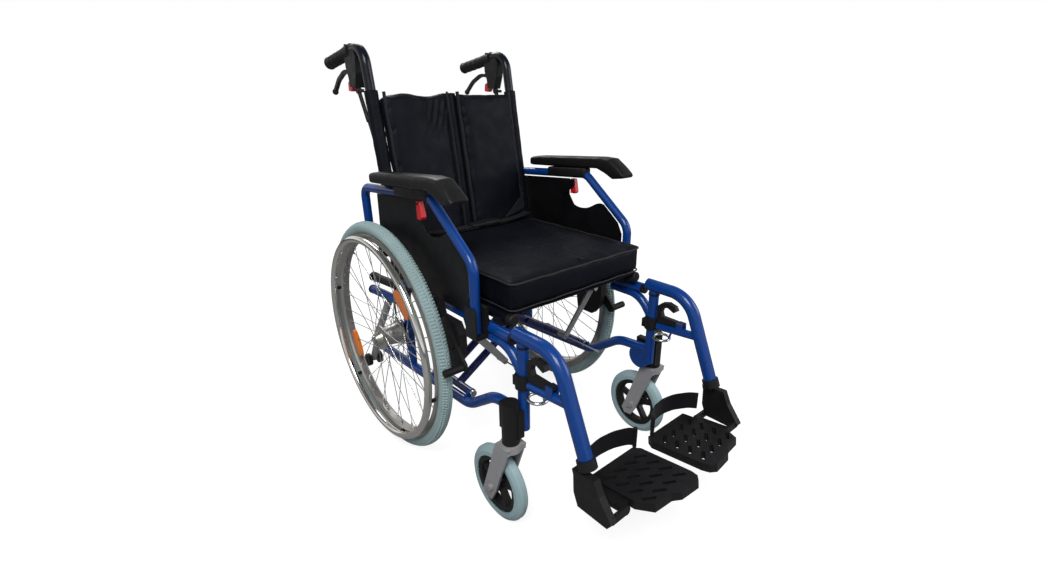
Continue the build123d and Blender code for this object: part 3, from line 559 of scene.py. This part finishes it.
# ---------------------------------------------------------------- grips and pads
def make_grip(side, sign):
    """Moulded grip with finger waves, end flange and fine rings."""
    low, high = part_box(f"{side}_hand_grip")
    drop = math.atan(0.158)
    radius = 0.0165
    flange_end = 0.06
    ribs_end = 0.9
    dome_start = 0.93
    start = Vector((sign * FRAME_X, low.y + radius * math.sin(drop),
                    high.z - radius * math.cos(drop)))
    length = (high.y - low.y - 2 * radius * math.sin(drop)) / math.cos(drop)
    axis = Vector((0, math.cos(drop), -math.sin(drop)))
    up = Vector((0, math.sin(drop), math.cos(drop)))
    steps = 96
    around = 40
    verts = []
    for i in range(steps + 1):
        t = i / steps
        ribbed = 0.12 < t < ribs_end
        r = radius - 0.0011
        if ribbed:
            r -= 0.0010 * max(0.0, math.sin(t * math.pi * 10))
        if t < flange_end:
            r = radius
        if t > dome_start:
            r = radius * math.sqrt(max(0.0, 1 - ((t - dome_start) / 0.075) ** 2)) * 0.98 + 0.0002
        for j in range(around):
            a = 2 * math.pi * j / around
            swell = 0.0004 if ribbed and j % 4 < 2 else 0.0
            ring = Vector((1, 0, 0)) * math.cos(a) + up * math.sin(a)
            verts.append(start + axis * length * t + ring * (r + swell))
    faces = grid_faces(steps + 1, around, wrap_columns=True)
    faces.append(tuple(steps * around + around - 1 - j for j in range(around)))
    faces.append(tuple(range(around)))
    grip = mesh_piece(f"{side}_grip_sleeve", verts, faces, "grip")
    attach(grip, f"{side}_frame")
    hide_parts(f"{side}_hand_grip")


def make_arm_pad(side, sign):
    """Foam pad with rounded edges and a nose that slopes down."""
    y = AXLE_Y
    top = [(0.011, 0.728), (-0.028, 0.733), (-0.152, 0.742), (-0.268, 0.7500),
           (-0.301, 0.749), (-0.328, 0.732), (-0.351, 0.7125)]
    under = [(0.011, 0.705), (-0.028, 0.707), (-0.152, 0.714), (-0.256, 0.7205),
             (-0.284, 0.711), (-0.311, 0.699), (-0.347, 0.7045)]
    count = 60
    sections = []
    for i in range(count + 1):
        t = i / count * (len(top) - 1)
        k = min(int(t), len(top) - 2)
        f = t - k
        a = [top[k][n] + (top[k + 1][n] - top[k][n]) * f for n in (0, 1)]
        b = [under[k][n] + (under[k + 1][n] - under[k][n]) * f for n in (0, 1)]
        end = min(i, count - i)
        pinch = 1 - 0.16 * max(0, 3 - end) ** 2 / 9
        sections.append((a, b, pinch))
    around = 36
    verts = []
    for a, b, pinch in sections:
        for j in range(around):
            angle = 2 * math.pi * j / around
            c = math.copysign(abs(math.cos(angle)) ** 0.38, math.cos(angle))
            s = math.copysign(abs(math.sin(angle)) ** 0.42, math.sin(angle))
            across = 0.0226 * c * pinch
            mix = 0.5 + 0.5 * s * pinch
            yy = b[0] + (a[0] - b[0]) * mix
            zz = b[1] + (a[1] - b[1]) * mix + (0.0014 if s > 0.8 else 0) * (1 - c * c)
            verts.append((sign * PAD_X + across, y + yy, zz))
    faces = grid_faces(count + 1, around, wrap_columns=True)
    faces.append(tuple(range(around)))
    faces.append(tuple((count + 1) * around - 1 - j for j in range(around)))
    pad = mesh_piece(f"{side}_arm_pad_skin", verts, faces, "skin")
    smooth(pad, 50)
    clip = block(f"{side}_pad_clips", (sign * ARM_X, y - 0.145, 0.7000), (0.027, 0.150, 0.027),
                 0.006, "plastic")
    for vert in clip.data.vertices:
        vert.co.z -= HOOP_FALL * (vert.co.y - (y - 0.145))
    for piece in (pad, clip):
        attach(piece, f"{side}_armrest")
    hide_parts(f"{side}_armrest_pad")


def block(name, middle, size, radius, key):
    """A moulded block with rounded edges."""
    bm = bmesh.new()
    bmesh.ops.create_cube(bm, size=1.0)
    for vert in bm.verts:
        vert.co = Vector(middle) + Vector([c * s for c, s in zip(vert.co, size)])
    bmesh.ops.bevel(bm, geom=list(bm.edges), offset=radius, segments=3, profile=0.5,
                    affect="EDGES")
    mesh = bpy.data.meshes.new(name)
    bm.to_mesh(mesh)
    bm.free()
    obj = link(bpy.data.objects.new(name, mesh))
    paint(obj, key)
    smooth(obj)
    return obj


# ---------------------------------------------------------------- straps
def ribbon(name, points, width_dir, width, thickness, key, divisions=6):
    """A flat strap along points, its stitched edges a little thinner than its middle."""
    samples = []
    for i in range(len(points) - 1):
        for k in range(divisions):
            samples.append(points[i].lerp(points[i + 1], k / divisions))
    samples.append(points[-1])
    for _ in range(3):
        inner = [samples[0]]
        for i in range(1, len(samples) - 1):
            inner.append((samples[i - 1] + samples[i] * 2 + samples[i + 1]) / 4)
        inner.append(samples[-1])
        samples = inner
    lanes = 11
    verts = []
    for i, place in enumerate(samples):
        ahead = samples[min(i + 1, len(samples) - 1)]
        back = samples[max(i - 1, 0)]
        tangent = (ahead - back).normalized()
        normal = tangent.cross(width_dir).normalized()
        for face in (1, -1):
            for j in range(lanes):
                t = (j / (lanes - 1) - 0.5) * face
                lip = 1.0 if abs(t) < 0.43 else 0.55
                verts.append(place + width_dir * width * t + normal * thickness / 2 * face * lip)
    ring = 2 * lanes
    faces = grid_faces(len(samples), ring, wrap_columns=True)
    faces.append(tuple(range(ring)))
    faces.append(tuple(len(samples) * ring - 1 - j for j in range(ring)))
    obj = mesh_piece(name, verts, faces, key)
    smooth(obj, 50)
    return obj


def make_heel_strap(side, sign):
    low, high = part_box(f"{side}_heel_strap")
    z = (low.z + high.z) / 2
    y0 = AXLE_Y
    spots = [(0.203, -0.646), (0.188, -0.630), (0.150, -0.612), (0.112, -0.607),
             (0.072, -0.613), (0.040, -0.628), (0.031, -0.640)]
    points = [Vector((sign * x, y0 + y, z + 0.004 * (0.11 - x) / 0.08)) for x, y in spots]
    strap = ribbon(f"{side}_heel_webbing", points, Vector((0, 0, 1)), 0.044, 0.0026, "webbing")
    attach(strap, f"{side}_swing_hanger")
    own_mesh(strap)
    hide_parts(f"{side}_heel_strap")
    post = rounded_rod(f"{side}_heel_post", points[-1] - Vector((0, 0, 0.026)),
                       points[-1] + Vector((0, 0, 0.024)), 0.0045, "plastic")
    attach(post, f"{side}_foot_support")


def make_belt():
    """Lap belt lying slack across the back of the seat, with a buckle."""
    low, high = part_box("lap_belt")
    y = (low.y + high.y) / 2
    z = low.z + 0.0075
    spots = [(-0.190, 0.010, 0.008), (-0.120, -0.002, 0.004), (-0.050, -0.010, 0.006),
             (0.010, -0.014, 0.008), (0.090, -0.006, 0.003), (0.150, 0.004, 0.005),
             (0.190, 0.012, 0.010)]
    points = [Vector((x, y + dy, z + dz)) for x, dy, dz in spots]
    strap = ribbon("lap_belt_webbing", points, Vector((0, 1, 0)), 0.030, 0.0018, "webbing")
    buckle = [block("buckle", (0.034, y - 0.012, z + 0.009), (0.052, 0.036, 0.013), 0.004, "plastic"),
              block("tongue", (-0.012, y - 0.013, z + 0.009), (0.042, 0.030, 0.008), 0.002, "plastic")]
    clasp = join(buckle, "lap_belt_buckle")
    for piece in (strap, clasp):
        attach(piece, "left_frame")
        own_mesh(piece)
    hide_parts("lap_belt")


# ---------------------------------------------------------------- seat
def bend_with_rails(piece):
    """Bakes the piece's placement into its own mesh."""
    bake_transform(piece)


def piping_loop(x1, y0, y1, level):
    """Points round the cushion's edge: four turned corners and slightly wavy runs."""
    turn_r = 0.016
    pieces = 12
    corners = ((x1, y1, 0, (-1, 0)), (-x1, y1, 90, (0, -1)),
               (-x1, y0, 180, (1, 0)), (x1, y0, 270, (0, 1)))
    loop = []
    for cx, cy, a0, (way_x, way_y) in corners:
        middle_x = cx - math.copysign(turn_r, cx)
        middle_y = cy - math.copysign(turn_r, cy - (y0 + y1) / 2)
        for k in range(4):
            a = math.radians(a0 + 30 * k)
            loop.append(Vector((middle_x + turn_r * math.cos(a), middle_y + turn_r * math.sin(a),
                                level)))
        corner = loop[-1]
        span = 2 * x1 if way_x else y1 - y0
        for k in range(1, pieces):
            step = (span - 2 * turn_r) / pieces * k
            wobble = 0.0012 * math.sin(k * 2.3 + a0)
            loop.append(corner + Vector((way_x * step, way_y * step, wobble)))
    return loop


def make_cushion():
    low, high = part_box("seat_cushion")
    inset = Vector((0.004, 0.004, 0.003))
    cushion = soft_block("cushion_cover", low + inset, high - inset, (52, 52, 8),
                         Vector((0.003, 0.004, 0.004)), 0.012, "nylon", puckers=0.0005)
    inflate(cushion, 0.007, 0.004, "nylon")
    bend_with_rails(cushion)
    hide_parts("seat_cushion")
    x1 = high.x - 0.004
    y0 = low.y + 0.003
    y1 = high.y - 0.005
    cords = []
    for level in (high.z - 0.0045, low.z + 0.006):
        cords.append(cord_curve("piping", piping_loop(x1, y0, y1, level), 0.0019, "thread",
                                closed=True))
    seam_start = y1 - 0.01
    seam_run = y1 - y0 - 0.02
    seam = [Vector((0.012, seam_start - seam_run * k / 14, high.z + 0.0030)) for k in range(15)]
    cords.append(cord_curve("seam", seam, 0.0011, "thread"))
    piping = join(cords, "cushion_piping")
    bend_with_rails(piping)


def make_sling():
    """Seat cloth with a sleeve round each rail and a slight sag between them."""
    low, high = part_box("seat_sling")
    sleeve = 0.0128
    profile = []
    for k in range(15):
        a = math.radians(90 - 24 * k)
        profile.append((RAIL_X + sleeve * math.cos(a), RAIL_Z + sleeve * math.sin(a)))
    profile = list(reversed(profile))
    span = 2 * RAIL_X
    for k in range(1, 24):
        x = RAIL_X - span * k / 24
        sag = 0.004 * (1 - (x / RAIL_X) ** 2)
        profile.append((x, RAIL_Z + sleeve - sag))
    profile += [(-x, z) for x, z in reversed(profile[:15])]
    rows = 42
    verts = []
    for i in range(rows):
        y = low.y - 0.002 + (high.y - low.y + 0.004) * i / (rows - 1)
        for x, z in profile:
            verts.append((x, y, z + 0.0006 * noise.noise(Vector((x * 30, y * 40, 0)))))
    sling = mesh_piece("seat_sling_cloth", verts, grid_faces(rows, len(profile)), "nylon")
    thick = sling.modifiers.new("thickness", "SOLIDIFY")
    thick.thickness = 0.0014
    thick.offset = 0
    bend_with_rails(sling)
    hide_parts("seat_sling")


# ---------------------------------------------------------------- backrest
def squash_back(piece):
    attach(piece, "left_frame")
    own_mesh(piece)


def gather(panel, side):
    """Puckers beside the centre strip near the top, and a top edge that falls at its ends."""
    top = max(v.co.z for v in panel.data.vertices)
    for vert in panel.data.vertices:
        x = vert.co.x
        drop = top - vert.co.z
        near = max(0.0, 1 - math.hypot((x + 0.052) / 0.062, (drop - 0.042) / 0.075))
        if side == "right":
            vert.co.y += 0.0075 * near * math.sin(x * 330 + drop * 120)
            vert.co.z += 0.004 * math.sin(x * 48 + 1.9) * max(0.0, 1 - drop / 0.05)
        outer = max(0.0, (abs(x) - 0.178) / 0.022)
        vert.co.z -= 0.009 * outer**2 * max(0.0, 1 - drop / 0.06)


BACK_LOW = 0.052
BACK_TOP = 0.456
SLEEVE_LOW = 0.078


def make_back_panels():
    top_dip = 0.006
    for side, x0, x1 in (("left", 0.016, 0.200), ("right", -0.200, -0.016)):
        panel = soft_block(f"back_panel_{side}", Vector((x0, -0.022, BACK_LOW)),
                           Vector((x1, 0.004, BACK_TOP - top_dip)), (34, 6, 60),
                           Vector((0.001, 0.005, 0.002)), 0.004, "nylon", leaned, 0.0008)
        inflate(panel, 0.005, 0.006, "nylon")
        gather(panel, side)
        squash_back(panel)
        if side == "left":
            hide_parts("backrest")


def make_centre_strip():
    """Doubled strip between the panels, where the back folds."""
    outline = ((-0.018, -0.010), (-0.010, -0.017), (0, -0.019), (0.010, -0.017),
               (0.018, -0.010), (0.018, 0.002), (-0.018, 0.002))
    around = len(outline)
    rows = 60
    verts = []
    for i in range(rows):
        z = BACK_LOW - 0.002 + (BACK_TOP - BACK_LOW - 0.004) * i / (rows - 1)
        for x, y in outline:
            ripple = 0.001 * noise.noise(Vector((x * 60, z * 30, 1)))
            verts.append(leaned(x, y + ripple, z))
    faces = grid_faces(rows, around, wrap_columns=True)
    faces += [tuple(range(around)), tuple(rows * around - 1 - j for j in range(around))]
    centre = mesh_piece("back_centre_strip", verts, faces, "nylon")
    squash_back(centre)


def make_back_binding():
    """Bound edges of the two panels."""
    cords = []
    for x, y, r in ((-0.016, -0.0235, 0.0032), (0.016, -0.0235, 0.0048),
                    (0.191, -0.0210, 0.0042), (-0.191, -0.0210, 0.0042)):
        line = []
        for k in range(17):
            z = BACK_LOW + (BACK_TOP - BACK_LOW - 0.004) * k / 16
            line.append(leaned(x + 0.0008 * math.sin(k * 1.7), y, z))
        cords.append(cord_curve("piping", line, r, "binding"))
    binding = join(cords, "back_binding")
    squash_back(binding)


def make_back_sleeve(side, sign):
    """Cloth sleeve round a back tube."""
    rows = 64
    around = 30
    verts = []
    for i in range(rows):
        z = SLEEVE_LOW - 0.002 + (BACK_TOP - SLEEVE_LOW + 0.003) * i / (rows - 1)
        for j in range(around):
            a = 2 * math.pi * j / around
            bumps = noise.noise(Vector((math.cos(a) * 2, math.sin(a) * 2, z * 38)))
            r = 0.0162 + 0.0008 * bumps
            verts.append(leaned(sign * FRAME_X + r * math.cos(a), r * math.sin(a), z))
    faces = grid_faces(rows, around, wrap_columns=True)
    sleeve = mesh_piece(f"back_sleeve_{side}", verts, faces, "nylon")
    thick = sleeve.modifiers.new("thickness", "SOLIDIFY")
    thick.thickness = 0.0012
    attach(sleeve, f"{side}_frame")


def make_corner_flap():
    """Grey flap of cloth in the seat's rear left corner."""
    foot = leaned(0.196, -0.022, 0.118)
    head = leaned(0.196, -0.022, 0.165)
    tip = leaned(0.105, -0.040, 0.104)
    rows = 12
    verts = []
    for i in range(rows):
        for j in range(rows):
            place = foot.lerp(head, i / (rows - 1)).lerp(tip, j / (rows - 1) * 0.96)
            sag = 0.002 + 0.003 * math.sin(math.pi * j / (rows - 1))
            verts.append(place - Vector((0, sag, 0)))
    flap = mesh_piece("seat_corner_flap", verts, grid_faces(rows, rows), "flap")
    thick = flap.modifiers.new("thickness", "SOLIDIFY")
    thick.thickness = 0.0014
    squash_back(flap)


# ---------------------------------------------------------------- small fittings
def make_rail_caps():
    """Black caps on the front ends of the seat rails."""
    for side, brace, x in (("left", "brace_b", RAIL_X), ("right", "brace_a", -RAIL_X)):
        front = Vector((x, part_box(f"cross_{brace}")[0].y - 0.002, RAIL_Z))
        cap = rounded_rod(f"{side}_rail_cap", front, front + Vector((0, 0.018, 0)), 0.0136,
                          "plastic", 0.003)
        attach(cap, brace)


def make_cable_clip(side, sign):
    """Flat clip with a round head that holds the brake cable behind the back tube."""
    top = Vector((sign * 0.2135, AXLE_Y + 0.146, 0.912))
    foot = Vector((sign * 0.2138, AXLE_Y + 0.108, 0.838))
    bar = block(f"{side}_cable_clip", (0, 0, 0), (0.008, 0.011, (top - foot).length), 0.003,
                "plastic")
    tilt = Vector((0, 0, 1)).rotation_difference((top - foot).normalized())
    for vert in bar.data.vertices:
        vert.co = tilt @ vert.co + (top + foot) / 2
    head = rounded_rod("clip_head", top + Vector((-0.005, 0, 0)), top + Vector((0.005, 0, 0)),
                       0.0095, "plastic", 0.002)
    neck = block("clip_neck", (sign * 0.2135, AXLE_Y + 0.132, 0.911), (0.007, 0.026, 0.008),
                 0.002, "plastic")
    clip = join([bar, head, neck], f"{side}_cable_clip")
    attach(clip, f"{side}_frame")


# ---------------------------------------------------------------- build
for side, sign in SIDES:
    make_tyre(side, sign)
    make_reflectors(side, sign)
    make_nipples(side, sign)
    make_grip(side, sign)
    make_arm_pad(side, sign)
    make_heel_strap(side, sign)
    make_cable_clip(side, sign)
make_rail_caps()
make_cushion()
make_sling()
make_back_panels()
make_centre_strip()
make_back_binding()
for side, sign in SIDES:
    make_back_sleeve(side, sign)
make_corner_flap()
make_belt()


# ---------------------------------------------------------------- studio
def lit_for_camera(tree, plain, seen, output):
    """Shows the seen shader to the camera and the plain one to every other ray."""
    path = add(tree, "ShaderNodeLightPath")
    mix = add(tree, "ShaderNodeMixShader")
    tree.links.new(path.outputs["Is Camera Ray"], mix.inputs["Fac"])
    tree.links.new(plain, mix.inputs[1])
    tree.links.new(seen, mix.inputs[2])
    tree.links.new(mix.outputs["Shader"], output)


def floor():
    """White sheet that keeps the soft shadows and throws back only a little light."""
    bpy.ops.mesh.primitive_plane_add(size=60, location=(0, 0, 0))
    plane = bpy.context.object
    plane.name = "floor"
    mat, tree, shader = new_material("floor_paper")
    tint = ramp(tree, noise_at(tree, 0.8), (0.30, 0.30, 0.30, 1), (0.32, 0.32, 0.32, 1))
    tree.links.new(tint, shader.inputs["Base Color"])
    shader.inputs["Roughness"].default_value = 0.9
    shader.inputs["Specular IOR Level"].default_value = 0.0
    coord = add(tree, "ShaderNodeTexCoord")
    reach = add(tree, "ShaderNodeVectorMath", operation="LENGTH")
    tree.links.new(coord.outputs["Object"], reach.inputs[0])
    tenth = add(tree, "ShaderNodeMath", operation="MULTIPLY")
    tenth.inputs[1].default_value = 0.1
    tree.links.new(reach.outputs["Value"], tenth.inputs[0])
    glow = add(tree, "ShaderNodeEmission")
    tree.links.new(ramp(tree, tenth.outputs[0], grey(0.84), grey(1.0), 0.10, 0.45),
                   glow.inputs["Color"])
    both = add(tree, "ShaderNodeAddShader")
    tree.links.new(shader.outputs["BSDF"], both.inputs[0])
    tree.links.new(glow.outputs["Emission"], both.inputs[1])
    out = tree.nodes["Material Output"].inputs["Surface"]
    lit_for_camera(tree, shader.outputs["BSDF"], both.outputs["Shader"], out)
    plane.data.materials.append(mat)


def studio_world():
    """White wall for the camera, a dim room for the rest, brighter low down in reflections."""
    world = bpy.data.worlds.new("studio")
    world.use_nodes = True
    tree = world.node_tree
    dim = tree.nodes["Background"]
    dim.inputs["Color"].default_value = (1, 1, 1, 1)
    dim.inputs["Strength"].default_value = 0.20
    coord = add(tree, "ShaderNodeTexCoord")
    height = add(tree, "ShaderNodeSeparateXYZ")
    tree.links.new(coord.outputs["Generated"], height.inputs["Vector"])
    walls = ramp(tree, height.outputs["Z"], grey(0.85), grey(0.12), 0.08, 0.75)
    mirrored = add(tree, "ShaderNodeBackground")
    tree.links.new(walls, mirrored.inputs["Color"])
    path = add(tree, "ShaderNodeLightPath")
    room = add(tree, "ShaderNodeMixShader")
    tree.links.new(path.outputs["Is Glossy Ray"], room.inputs["Fac"])
    tree.links.new(dim.outputs["Background"], room.inputs[1])
    tree.links.new(mirrored.outputs["Background"], room.inputs[2])
    white = add(tree, "ShaderNodeBackground")
    white.inputs["Color"].default_value = (1, 1, 1, 1)
    white.inputs["Strength"].default_value = 1.0
    out = tree.nodes["World Output"].inputs["Surface"]
    lit_for_camera(tree, room.outputs["Shader"], white.outputs["Background"], out)
    bpy.context.scene.world = world


def area_light(name, place, target, size, power):
    data = bpy.data.lights.new(name, "AREA")
    data.shape = "SQUARE"
    data.size = size
    data.energy = power
    lamp = link(bpy.data.objects.new(name, data))
    lamp.location = place
    lamp.rotation_euler = (Vector(target) - Vector(place)).to_track_quat("-Z", "Y").to_euler()


def camera():
    azimuth = math.radians(-42.14)
    elevation = math.radians(21.01)
    roll = math.radians(0.20)
    back = Vector((math.sin(azimuth) * math.cos(elevation),
                   -math.cos(azimuth) * math.cos(elevation), math.sin(elevation)))
    right = Vector((math.cos(azimuth), math.sin(azimuth), 0))
    up = back.cross(right)
    turned_right = right * math.cos(roll) + up * math.sin(roll)
    turned_up = up * math.cos(roll) - right * math.sin(roll)
    data = bpy.data.cameras.new("camera")
    data.sensor_width = 36
    data.lens = 17.61
    data.shift_x = -0.01945
    data.shift_y = 0.00135
    data.clip_start = 0.01
    obj = link(bpy.data.objects.new("camera", data))
    matrix = Matrix((turned_right, turned_up, back)).transposed().to_4x4()
    matrix.translation = Vector((-0.79031, AXLE_Y - 1.18855, 0.90973))
    obj.matrix_world = matrix
    bpy.context.scene.camera = obj


floor()
camera()
area_light("key", (-1.7, -1.4, 2.8), (0, 0, 0.5), 1.3, 75)
area_light("fill", (2.0, -2.0, 1.8), (0, 0, 0.4), 1.6, 32)
area_light("rear", (0.6, 2.4, 2.6), (0, 0, 0.6), 1.4, 36)
studio_world()
bpy.context.scene.view_settings.view_transform = "Standard"
